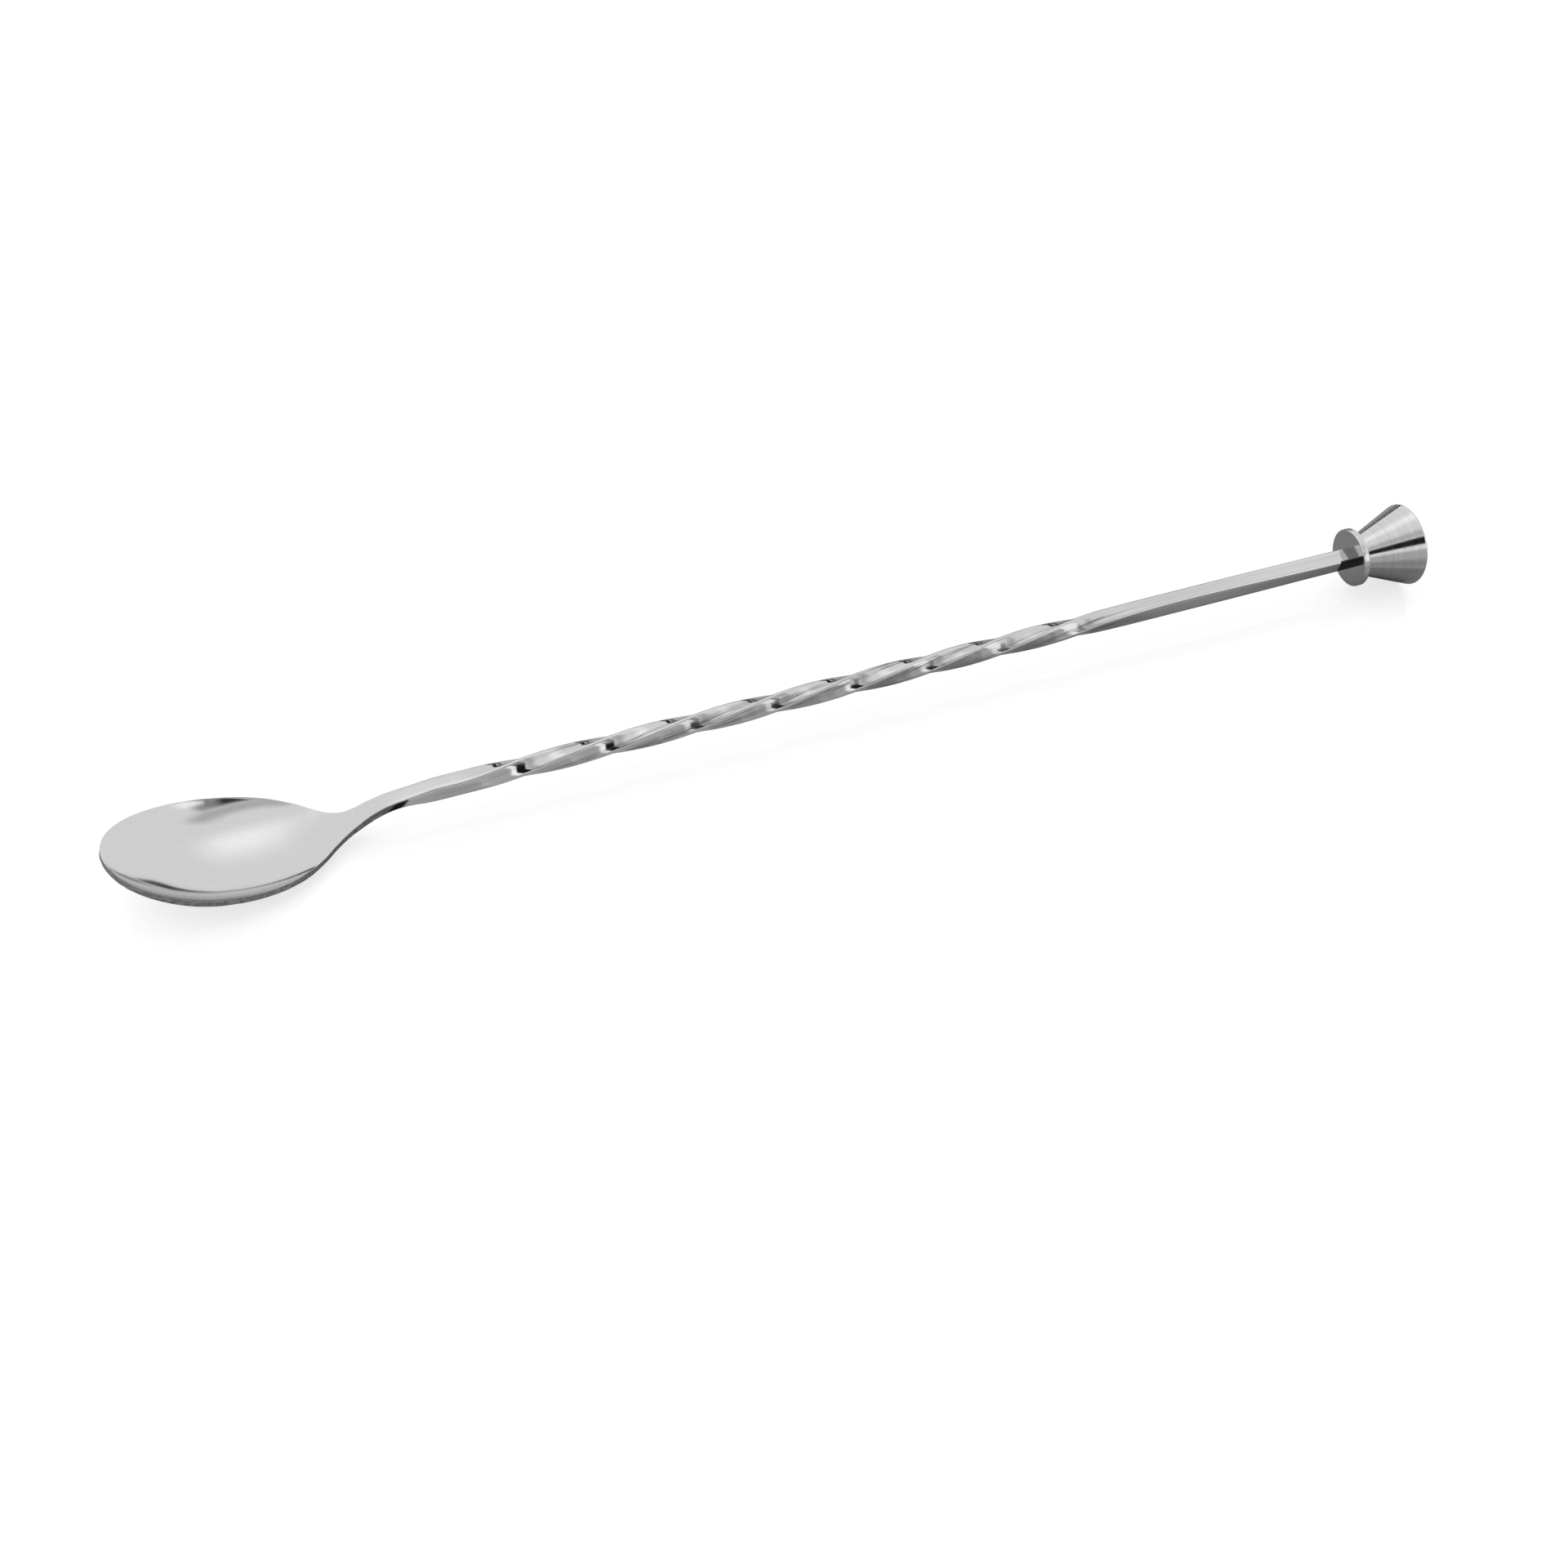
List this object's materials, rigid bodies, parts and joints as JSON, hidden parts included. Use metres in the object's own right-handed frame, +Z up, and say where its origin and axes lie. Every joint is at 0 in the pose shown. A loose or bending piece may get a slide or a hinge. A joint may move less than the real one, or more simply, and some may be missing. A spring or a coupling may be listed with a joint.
{
  "type": "bar spoon",
  "caption": "Long mixing spoon with an oval dished bowl, a slim neck, a spiral-twisted square stem and a flared conical muddler head with a collar.",
  "frame": {"origin": "on the table plane, under the middle of the whole length and on the spoon's own centre line", "axes": "+X along the stem from the bowl to the muddler head, +Z up with the spoon lying on its back, +Y across"},
  "size_m": [0.2706, 0.026, 0.0174],
  "materials": {
    "bowl_steel": "stainless steel, satin polished",
    "weld_steel": "stainless weld metal, ground flush and brushed",
    "stem_steel": "stainless steel, bright polished",
    "head_steel": "stainless steel, turned and polished",
    "braze": "dull silver braze filler"
  },
  "bodies": {
    "root": {"spoon_bowl": "bowl_steel", "neck_weld": "weld_steel", "twisted_stem": "stem_steel", "muddler_head": "head_steel", "head_braze": "braze"}
  },
  "joints": []
}
